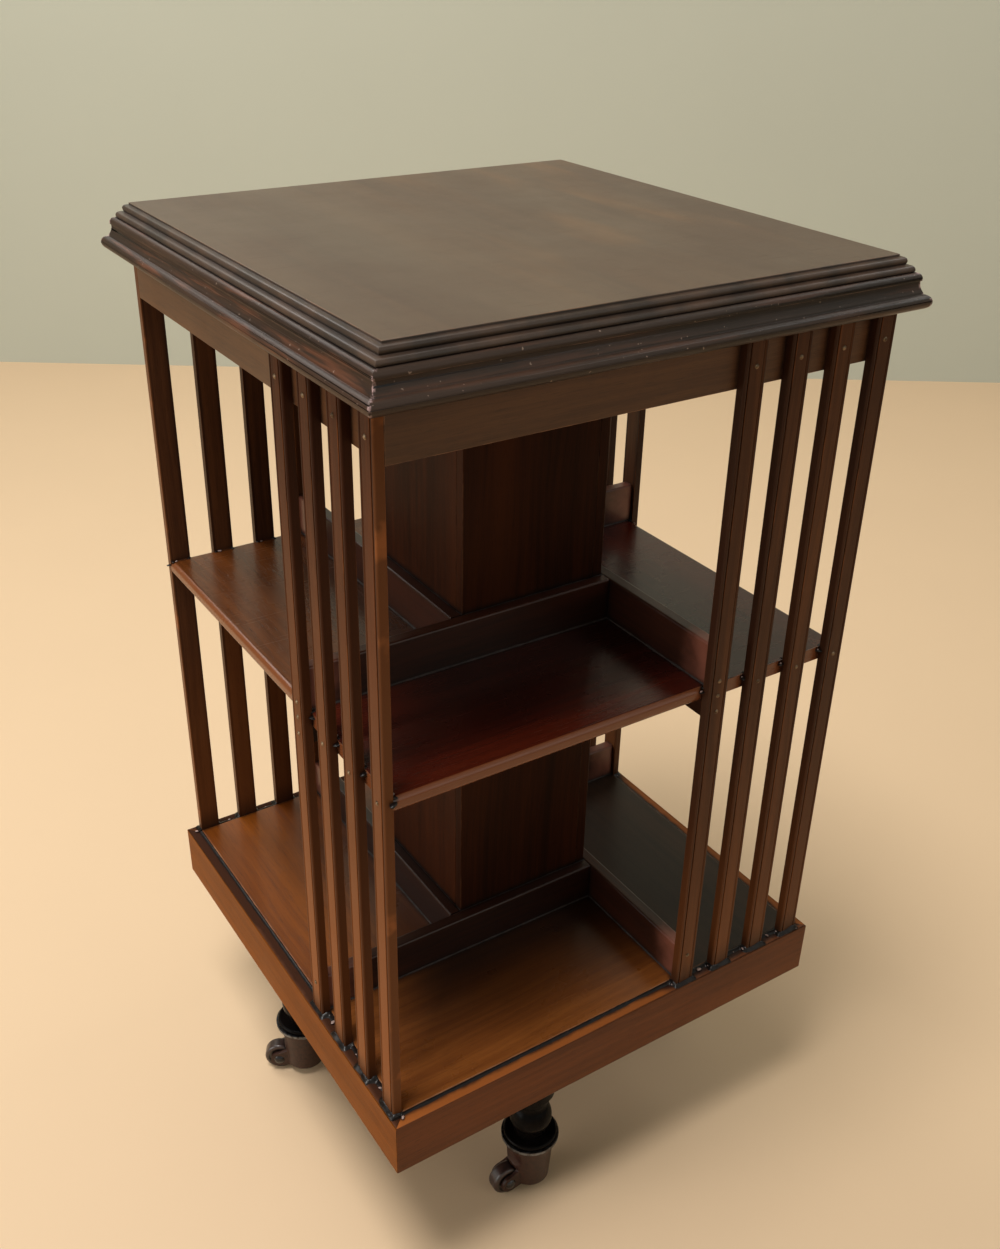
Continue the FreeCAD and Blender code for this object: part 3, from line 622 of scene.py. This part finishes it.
def joined(pieces):
    """Several pieces as one, under the name of the first."""
    only(pieces[0])
    for piece in pieces:
        piece.select_set(True)
    bpy.ops.object.join()
    return pieces[0]


def islands(mesh):
    """The separate solids of a mesh, each as a list of its vertices' numbers."""
    parent = list(range(len(mesh.vertices)))

    def root(number):
        while parent[number] != number:
            parent[number] = parent[parent[number]]
            number = parent[number]
        return number
    for edge in mesh.edges:
        first, second = (root(number) for number in edge.vertices)
        parent[first] = second
    found = {}
    for number in range(len(mesh.vertices)):
        found.setdefault(root(number), []).append(number)
    return list(found.values())


def lay_grain(piece, along=None):
    """Gives every board its own stretch of figure, running along its longest side."""
    mesh = piece.data
    pick = random.Random(piece.name)
    places = [None] * len(mesh.vertices)
    for board in islands(mesh):
        spots = [mesh.vertices[number].co for number in board]
        spans = [max(spot[axis] for spot in spots) - min(spot[axis] for spot in spots)
                 for axis in range(3)]
        first = spans.index(max(spans)) if along is None else along
        others = [axis for axis in range(3) if axis != first]
        offset = [pick.uniform(0, 8) for axis in range(3)]
        for number, spot in zip(board, spots):
            places[number] = (spot[first] + offset[0], spot[others[0]] + offset[1],
                              spot[others[1]] + offset[2])
    grain = mesh.attributes.new("grain", "FLOAT_VECTOR", "POINT")
    grain.data.foreach_set("vector", [value for place in places for value in place])


def mark_faces(piece, name, chosen):
    """Stores 1 on the chosen faces and 0 on the rest, for a material to read."""
    mesh = piece.data
    mark = mesh.attributes.new(name, "FLOAT", "CORNER")
    values = [0.0] * len(mesh.loops)
    for face in mesh.polygons:
        if chosen(face):
            for corner in face.loop_indices:
                values[corner] = 1.0
    mark.data.foreach_set("value", values)


def deepened(piece):
    """Brings a frieze's lower edge down, below that of its solid."""
    for point in piece.data.vertices:
        if point.co.z < FRIEZE_LOW + MM:
            point.co.z -= FRIEZE_DEEPER


# The worked edge of the top: how far it reaches out and lies below the surface, in millimetres
EDGE_FILLET = ((0.1, 1.6), (2.0, 2.0))
UPPER_REED = ((2.6, 3.2), ((4.3, 6.6), (3.9, 7.2)))
EDGE_STEP = ((6.2, 7.8),)
LOWER_REED = ((3.2, 3.6), ((9.2, 12.4), (8.8, 13.0)))
REED_STEPS = 6


def reed(start, size, foot):
    """A quarter-round from start, then the points of its undercut foot."""
    turns = [math.pi / 2 * number / REED_STEPS for number in range(1, REED_STEPS + 1)]
    round_part = [(start[0] + size[0] * math.sin(turn), start[1] + size[1] * (1 - math.cos(turn)))
                  for turn in turns]
    return (*round_part, *foot)


def reeded_board():
    """The top as one board, its edge worked with two reeds from the upper arris down."""
    line = [*EDGE_FILLET, *reed(EDGE_FILLET[-1], *UPPER_REED), *EDGE_STEP,
            *reed(EDGE_STEP[-1], *LOWER_REED)]
    clear()
    bpy.ops.mesh.primitive_plane_add(size=2 * CASE_HALF)
    board = bpy.context.object
    board.name = "finished_top_board"
    bpy.ops.object.mode_set(mode="EDIT")
    bpy.ops.transform.translate(value=(0.0, 0.0, TOP_HEIGHT))
    half, depth = CASE_HALF, 0.0
    for reach, drop in line:
        wider = CASE_HALF + reach * MM
        bpy.ops.mesh.extrude_region_move(
            TRANSFORM_OT_translate={"value": (0.0, 0.0, (depth - drop) * MM)})
        bpy.ops.transform.resize(value=(wider / half, wider / half, 1.0))
        half, depth = wider, drop
    bpy.ops.mesh.select_all(action="SELECT")
    bpy.ops.mesh.normals_make_consistent(inside=False)
    bpy.ops.object.mode_set(mode="OBJECT")
    return board


def softened(node, finish, arris=SOFT_ARRIS, along=None, shortest=SHORTEST_ARRIS, edge=None,
             made=None, change=None):
    """A node's solid, or the piece made for it, with its sharp arrises rounded and dressed."""
    solid = frame["nodes"][node]
    piece = made
    if piece is None:
        piece = bpy.data.objects.new("finished_" + node, solid.data.copy())
        bpy.context.scene.collection.objects.link(piece)
    if change:
        change(piece)
    only(piece)
    bpy.ops.object.mode_set(mode="EDIT")
    bpy.ops.mesh.select_all(action="SELECT")
    bpy.ops.mesh.remove_doubles(threshold=MERGE_DISTANCE)
    bpy.ops.mesh.dissolve_limited(angle_limit=FLAT_ANGLE)
    bpy.ops.mesh.select_mode(type="EDGE")
    bpy.ops.mesh.select_all(action="DESELECT")
    net = bmesh.from_edit_mesh(piece.data)
    sharp = [line for line in net.edges
             if line.is_manifold and line.is_convex and line.calc_length() >= shortest
             and line.calc_face_angle() > SHARP_ANGLE]
    for line in sharp:
        line.select_set(True)
    bmesh.update_edit_mesh(piece.data)
    rounded = bool(arris and sharp)
    if rounded:
        bpy.ops.mesh.bevel(offset=arris, segments=2, profile=0.5, clamp_overlap=False)
    bpy.ops.object.mode_set(mode="OBJECT")
    mark_faces(piece, "arris", lambda face: (
        rounded and face.select and max(map(abs, face.normal)) < ARRIS_SLOPE))
    if edge:
        mark_faces(piece, "edge", edge)
    bpy.ops.object.shade_smooth_by_angle(angle=SMOOTH_ANGLE)
    even = piece.modifiers.new("even", "WEIGHTED_NORMAL")
    even.keep_sharp = True
    bpy.ops.object.modifier_apply(modifier="even")
    lay_grain(piece, along)
    piece.data.materials.clear()
    piece.data.materials.append(FINISHES[finish])
    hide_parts(node)
    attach(piece, solid["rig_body"])


# Per side, some finishes come as lit and shaded copies: lighter ones painted as lit on the left,
# darker ones painted as shade on the front and right.
MOULDING_FINISHES = dict(zip(SIDES, ("moulding", "moulding", "lit_worn_moulding", "lit_worn_moulding")))
SLAT_FINISHES = dict(zip(SIDES, ("slat", "slat", "slat", "lit_slat")))
SHELF_FINISHES = dict(zip(SIDES, ("shelf", "shelf", "brown_shelf", "brown_shelf")))
BOARD_FINISHES = dict(zip(SIDES, ("board", "dark_board", "board", "open_board")))
PLINTH_FINISHES = dict(zip(SIDES, ("plinth", "plinth", "waxed_plinth", "waxed_plinth")))

softened("top_board", "top", arris=SMALL_ARRIS, along=Y_AXIS,
         edge=lambda face: face.center.z < TOP_HEIGHT - 0.3 * MM, made=reeded_board())
for side in SIDES:
    softened("top_moulding_" + side, MOULDING_FINISHES[side], arris=SMALL_ARRIS)
    softened("frieze_rail_" + side, "frieze", change=deepened)
    softened("slats_" + side, SLAT_FINISHES[side], arris=SMALL_ARRIS)
    softened("shelf_board_" + side, SHELF_FINISHES[side],
             edge=lambda face: abs(face.normal.z) < NOSING_SLOPE)
    softened("floor_board_" + side, BOARD_FINISHES[side], arris=1.0 * MM)
    softened("column_panel_" + side, "column")
    softened("plinth_rail_" + side, PLINTH_FINISHES[side], arris=0.9 * MM)
    softened("castor_horn_" + side, "horn", arris=0.6 * MM, shortest=3 * MM)
    softened("castor_wheel_" + side, "wheel", arris=0.0)
    softened("castor_axle_" + side, "axle", arris=0.0)
softened("curbs", "curb")
softened("shelf_bearers", "column")
for node in ("corner_blocks", "case_rail_lower", "case_rail_upper", "bearing_block"):
    softened(node, "inner")
for node in ("stand_rail_lower", "stand_rail_upper"):
    softened(node, "ebonised", arris=1.2 * MM)
softened("turned_feet", "ebonised", arris=0.0, along=Z_AXIS)
softened("slat_pins", "pin", arris=0.0)
softened("castor_sockets", "steel", arris=0.0)
for node, finish, slot in (("lower_bush", "brass", "bearing_brass"), ("pivot_cup", "iron", "iron"),
                           ("spindle_flange", "iron", "iron"), ("spindle", "steel", "steel"),
                           ("spindle_nut", "steel", "steel"), ("pivot_ball", "steel", "steel"),
                           ("bearing_screws", "steel", "steel"),
                           ("flange_screws", "steel", "steel")):
    softened(node, finish, arris=0.0)


# Old wax, crumbs of filler and dust, which only years of polishing leave; some of the black wax also
# stands for shade in gaps. Lengths in metres.

WAX_REACH = 0.0116
WAX_ENDS = (-CASE_HALF - 0.010, SLAT_HIGH + 0.003)
WAX_GRID = (340, 13)
WAX_SHEET = 0.0006
WAX_DEPTH = 0.0008
SLAT_NEARNESS = 0.004

# How wide the wax lies, as a mean and a swing, and its height as a share of that
WAX_AT_CASE = (0.0028, 0.0009)
WAX_AT_SLATS = (0.0034, 0.0018)
WAX_COLLAR = (0.0032, 0.0024)
WAX_STEEPNESS = 0.5
COLLAR_STEEPNESS = 0.9

# The size of its waves and bumps, along the ledge and across it
WAVE_SIZE = (0.017, 0.017)
BUMP_SIZE = (0.009, 0.006)
ROUGH_SIZE = (0.004, 0.003)
ROUGH_HEIGHT = 0.00035

# Steps of the noise's seed, so that slats and bumps differ
SLAT_SEED = 40.0
ROUGH_SEED = 9.0

# The crumbs: stretch along and across, unevenness, least and greatest growth
LUMP_SHAPE = (1.5, 0.9)
LUMP_ROUGHNESS = 0.11
LUMP_GROWTH = (0.7, 1.2)

# The dust in the joints of the curbs. It grows by a mean, a slow swing and a small jitter.
DUST_WIDTH = 0.0013
DUST_STEP = 0.006
DUST_WAVE = 0.013
DUST_GROWTH = (0.75, 0.55, 0.1)
DUST_BELOW_TOP = 0.0014


def dressed(piece, name, finish):
    piece.name = name
    piece.data.materials.append(FINISHES[finish])
    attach(piece, "case")


def ripple(along, out, seed, size):
    """Noise over the ledge, with bumps of the given size along it and across it."""
    return noise.noise(Vector((along / size[0], out / size[1], seed)))


def heap(along, out, seed):
    """How high the wax stands on the ledge, out from the case and along its front."""
    mean, swing = WAX_AT_SLATS if along > SLAT_LOW - SLAT_NEARNESS else WAX_AT_CASE
    width = mean + swing * ripple(along, 0.0, seed, WAVE_SIZE)
    height = WAX_STEEPNESS * width * (1.0 - (out / width) ** 2)
    mean, swing = WAX_COLLAR
    for centre in SLAT_CENTRES:
        beside = max(abs(along - centre) - SLAT_WIDTH / 2, 0.0)
        before = max(out - SLAT_THICKNESS, 0.0)
        collar = mean + swing * ripple(along, out, seed + centre * SLAT_SEED, BUMP_SIZE)
        nearness = 1.0 - math.hypot(beside, before) / collar
        height = max(height, COLLAR_STEEPNESS * collar * nearness)
    return height + ROUGH_HEIGHT * ripple(along, out, seed + ROUGH_SEED, ROUGH_SIZE)


def ledge_wax_and_shade(side):
    """Wax heaped along the foot of the case and round the feet of the slats; the bead along the case
    is also a dark stand-in for shade in the gap beside the floor boards.
    """
    low, high = WAX_ENDS
    clear()
    bpy.ops.mesh.primitive_grid_add(x_subdivisions=WAX_GRID[0], y_subdivisions=WAX_GRID[1],
                                    size=1.0)
    wax = bpy.context.object
    bpy.ops.object.mode_set(mode="EDIT")
    bpy.ops.transform.resize(value=(high - low, WAX_REACH, 1.0))
    bpy.ops.transform.translate(value=((low + high) / 2, -CASE_HALF - WAX_REACH / 2, PLINTH_TOP))
    bpy.ops.object.mode_set(mode="OBJECT")
    for point in wax.data.vertices:
        out = -point.co.y - CASE_HALF
        point.co.z += max(heap(point.co.x, out, float(SIDES.index(side))), -WAX_DEPTH)
    body = wax.modifiers.new("body", "SOLIDIFY")
    body.thickness = WAX_SHEET
    body.offset = -1.0
    bpy.ops.object.modifier_apply(modifier="body")
    bpy.ops.object.shade_smooth()
    wax.data.transform(Matrix.Rotation(TURNS[side], 4, "Z"))
    dressed(wax, "ledge_wax_" + side, "old_wax")


def lump_mesh(seed, size, flatness):
    """One irregular lump, as a mesh that the pieces below copy."""
    clear()
    bpy.ops.mesh.primitive_ico_sphere_add(subdivisions=2, radius=size / 2)
    lump = bpy.context.object
    bpy.ops.object.mode_set(mode="EDIT")
    bpy.ops.transform.resize(value=(*LUMP_SHAPE, flatness))
    bpy.ops.transform.vertex_random(offset=size * LUMP_ROUGHNESS, seed=seed)
    bpy.ops.object.mode_set(mode="OBJECT")
    bpy.ops.object.shade_smooth()
    return lump


def scattered(name, patterns, spots, finish):
    """Copies of the pattern lumps, turned and set at the spots, joined into one piece."""
    pick = random.Random(name)
    copies = []
    for number, (spot, turn) in enumerate(spots):
        pattern = patterns[number % len(patterns)]
        copy = bpy.data.objects.new(name, pattern.data.copy())
        bpy.context.scene.collection.objects.link(copy)
        grow = pick.uniform(*LUMP_GROWTH)
        copy.data.transform(Matrix.Rotation(turn, 4, "Z") @ Matrix.Translation(spot)
                            @ Matrix.Rotation(pick.uniform(0.0, math.tau), 4, "Z")
                            @ Matrix.Scale(grow, 4))
        copies.append(copy)
    whole = joined(copies)
    for pattern in patterns:
        bpy.data.objects.remove(pattern)
    dressed(whole, name, finish)


def joint_dust(name, runs):
    """Dust packed into inner corners: a ragged three-sided fillet for each run."""
    pick = random.Random(name)
    mean, swing, jitter = DUST_GROWTH
    fillets = []
    for (start, end, corner), outward, turn in runs:
        clear()
        length = end - start
        bpy.ops.mesh.primitive_cube_add(size=1.0)
        fillet = bpy.context.object
        bpy.ops.object.mode_set(mode="EDIT")
        bpy.ops.transform.resize(value=(length, DUST_WIDTH, DUST_WIDTH))
        bpy.ops.transform.translate(value=(0.0, outward * DUST_WIDTH / 2, DUST_WIDTH / 2))
        bpy.ops.mesh.bisect(plane_co=(0.0, outward * DUST_WIDTH, 0.0),
                            plane_no=(0.0, outward, 1.0), use_fill=True, clear_outer=True)
        for step in range(1, int(length / DUST_STEP)):
            bpy.ops.mesh.select_all(action="SELECT")
            bpy.ops.mesh.bisect(plane_co=(step * DUST_STEP - length / 2, 0.0, 0.0),
                                plane_no=(1.0, 0.0, 0.0))
        bpy.ops.object.mode_set(mode="OBJECT")
        for point in fillet.data.vertices:
            if abs(point.co.y) > DUST_WIDTH / 2 or point.co.z > DUST_WIDTH / 2:
                near = noise.noise(Vector((point.co.x / DUST_WAVE, outward, start)))
                grow = mean + swing * near + pick.uniform(-jitter, jitter)
                point.co.y *= grow
                point.co.z *= grow
        fillet.data.transform(Matrix.Rotation(turn, 4, "Z") @ Matrix.Translation(
            ((start + end) / 2, *corner)))
        fillets.append(fillet)
    dressed(joined(fillets), name, "dust")


for side in SIDES:
    ledge_wax_and_shade(side)

# Crumbs on the ledge: along the front from its middle, out from the case, and how high they lie
CRUMB_HEIGHT = 0.0012
FOOT_CRUMBS = ((-0.2222, 0.0050, 1.1), (0.0725, 0.0004, 0.6), (0.1005, 0.0035, 1.0),
               (0.1118, 0.0042, 1.3), (0.1445, 0.0030, 0.7), (0.1550, 0.0044, 1.4),
               (0.1880, 0.0028, 0.8), (0.1998, 0.0040, 1.1), (0.2190, 0.0086, 0.7),
               (0.0665, 0.0046, 0.7))
CHIPPED_ARRIS = (-0.0897, -0.2314, 0.2224)
foot_spots = [(Vector((along, -CASE_HALF - out, PLINTH_TOP + CRUMB_HEIGHT * rise)), TURNS[side])
              for side in SIDES for along, out, rise in FOOT_CRUMBS]
foot_spots.append((Vector(CHIPPED_ARRIS), TURNS["front"]))
foot_lumps = [lump_mesh(seed=3, size=0.0026, flatness=0.55),
              lump_mesh(seed=8, size=0.0017, flatness=0.6),
              lump_mesh(seed=14, size=0.0032, flatness=0.45)]
scattered("foot_crumbs", foot_lumps, foot_spots, "crumb")

# Where each slat crosses the shelf: along from the slat's centre, out from the case, and up
BESIDE_SLAT = SLAT_WIDTH / 2 + 0.0012
BEHIND_SLAT = BESIDE_SLAT - 0.003
JOINT_WAX_AND_SHADE = ((-BESIDE_SLAT, 0.0008, -0.0035), (-BEHIND_SLAT, -0.0012, 0.0),
             (BESIDE_SLAT, 0.0008, -0.0035), (BEHIND_SLAT, -0.0012, 0.0))
JOINT_CRUMBS = ((-SLAT_WIDTH / 2 - 0.0024, 0.0012, -0.002), (0.005, -0.0022, 0.0006))


def shelf_spots(offsets):
    return [(Vector((centre + along, -CASE_HALF - out, SHELF_TOP + up)), TURNS[side])
            for side in SIDES for centre in SLAT_CENTRES for along, out, up in offsets]


# Black lumps at the joints: old wax, and a dark stand-in for the shade of the gaps there.
joint_dark_lumps = [lump_mesh(seed=21, size=0.0050, flatness=0.35),
             lump_mesh(seed=27, size=0.0040, flatness=0.45)]
scattered("shelf_joint_wax", joint_dark_lumps, shelf_spots(JOINT_WAX_AND_SHADE), "old_wax")
crumb_lumps = [lump_mesh(seed=31, size=0.0018, flatness=0.6),
               lump_mesh(seed=36, size=0.0024, flatness=0.5)]
scattered("shelf_joint_crumbs", crumb_lumps, shelf_spots(JOINT_CRUMBS), "crumb")

curb_runs = []
for side in SIDES:
    for level in (FLOOR_TOP, SHELF_TOP):
        curb_runs.append(((-CASE_HALF, COLUMN_HALF, (-CURB_FACE, level)), -1.0, TURNS[side]))
        curb_runs.append(((-CASE_HALF, -CURB_FACE, (-COLUMN_HALF, level)), 1.0, TURNS[side]))
        above = level + CURB_HEIGHT - DUST_BELOW_TOP
        curb_runs.append(((-COLUMN_HALF, COLUMN_HALF, (-COLUMN_HALF, above)), -1.0, TURNS[side]))
joint_dust("curb_dust", curb_runs)


# Room to stand in: a pale floor, a pale wall behind the case and soft lamps

ROOM_SIZE = 40.0
WALL_PLACE = (1.3, 1.9, 2.0)
WALL_TURN = math.radians(-33.5)
SPECKLE_SHADE = 0.96
MIDDLE = (0.0, 0.0, 0.4)
DAYLIGHT = (1.0, 0.98, 0.95)
ROOM_LIGHT = (1.0, 0.96, 0.9)


def plain_material(name, colour, roughness):
    made, tree, shader = blank_material(name)
    speckle = cloud(tree, position(tree), scale=3.0, detail=4.0)
    darker = (*(SPECKLE_SHADE * level for level in colour[:3]), 1.0)
    tree.links.new(mix(tree, speckle, darker, colour), shader["Base Color"])
    shader["Roughness"].default_value = roughness
    return made


def pale_floor():
    bpy.ops.mesh.primitive_plane_add(size=ROOM_SIZE, location=(0.0, 0.0, 0.0))
    floor = bpy.context.object
    floor.name = "pale_floor"
    floor.data.materials.append(plain_material("pale floor", shade(224, 194, 158), roughness=0.6))


def pale_wall():
    bpy.ops.mesh.primitive_plane_add(size=ROOM_SIZE, location=(0.0, 0.0, 0.0))
    wall = bpy.context.object
    wall.name = "pale_wall"
    wall.data.transform(Matrix.Translation(WALL_PLACE)
                        @ Matrix.Rotation(WALL_TURN, 4, "Z")
                        @ Matrix.Rotation(math.radians(90.0), 4, "X"))
    wall.data.materials.append(plain_material("pale wall", shade(188, 191, 176), roughness=0.8))


def lamp(name, place, size, power, colour=DAYLIGHT):
    """A soft rectangular lamp that faces the middle of the case."""
    data = bpy.data.lights.new(name, "AREA")
    data.shape = "RECTANGLE"
    data.size, data.size_y = size
    data.energy = power
    data.color = colour
    thing = bpy.data.objects.new(name, data)
    bpy.context.scene.collection.objects.link(thing)
    thing.location = place
    aim = Vector(MIDDLE) - Vector(place)
    thing.rotation_euler = aim.to_track_quat("-Z", "Y").to_euler()


def sky(colour, strength, seen):
    """Soft light from all round, which the camera and polished surfaces see as a pale backdrop."""
    world = bpy.data.worlds.new("soft sky")
    bpy.context.scene.world = world
    world.use_nodes = True
    tree = world.node_tree
    shader = tree.nodes["Background"].inputs
    shader["Color"].default_value = colour
    path = put(tree, "LightPath").outputs
    looked_at = maths(tree, "MAXIMUM", path["Is Camera Ray"], path["Is Glossy Ray"])
    looked_at = maths(tree, "MAXIMUM", looked_at, path["Is Transmission Ray"])
    level = maths(tree, "ADD", strength, maths(tree, "MULTIPLY", looked_at, seen - strength))
    tree.links.new(level, shader["Strength"])


pale_floor()
pale_wall()
lamp("key_above", (-1.15, -0.35, 4.2), size=(1.3, 1.3), power=112.0)
lamp("window_left", (-3.0, 0.4, 1.3), size=(2.0, 2.0), power=38.0)
lamp("soft_front", (1.2, -3.0, 1.8), size=(2.0, 1.6), power=6.0, colour=ROOM_LIGHT)
lamp("soft_back", (-0.6, 1.9, 2.6), size=(1.4, 1.4), power=30.0)
lamp("soft_right", (2.6, -0.3, 2.4), size=(1.4, 1.4), power=16.0)
sky(shade(206, 206, 194), strength=0.3, seen=0.8)


# Camera, found from the photograph's lines

CAMERA_PLACE = Vector((-0.5752, -0.8883, 1.1149))
CAMERA_AZIMUTH = math.radians(-33.54)
CAMERA_HEIGHT_ANGLE = math.radians(29.27)
CAMERA_ROLL = math.radians(1.22)
CAMERA_LENS = 37.70
SENSOR_WIDTH = 36.0

back = Vector((math.sin(CAMERA_AZIMUTH) * math.cos(CAMERA_HEIGHT_ANGLE),
               -math.cos(CAMERA_AZIMUTH) * math.cos(CAMERA_HEIGHT_ANGLE),
               math.sin(CAMERA_HEIGHT_ANGLE)))
level_right = (-back).cross(Vector((0.0, 0.0, 1.0))).normalized()
level_up = level_right.cross(-back)
right = math.cos(CAMERA_ROLL) * level_right + math.sin(CAMERA_ROLL) * level_up
up = -math.sin(CAMERA_ROLL) * level_right + math.cos(CAMERA_ROLL) * level_up
lens = bpy.data.cameras.new("photo_view")
lens.sensor_width = SENSOR_WIDTH
lens.lens = CAMERA_LENS
lens.clip_start = 0.01
camera = bpy.data.objects.new("photo_view", lens)
bpy.context.scene.collection.objects.link(camera)
camera.matrix_world = Matrix.Translation(CAMERA_PLACE) @ Matrix(
    (right, up, back)).transposed().to_4x4()
bpy.context.scene.camera = camera

bpy.context.scene.view_settings.view_transform = "Standard"
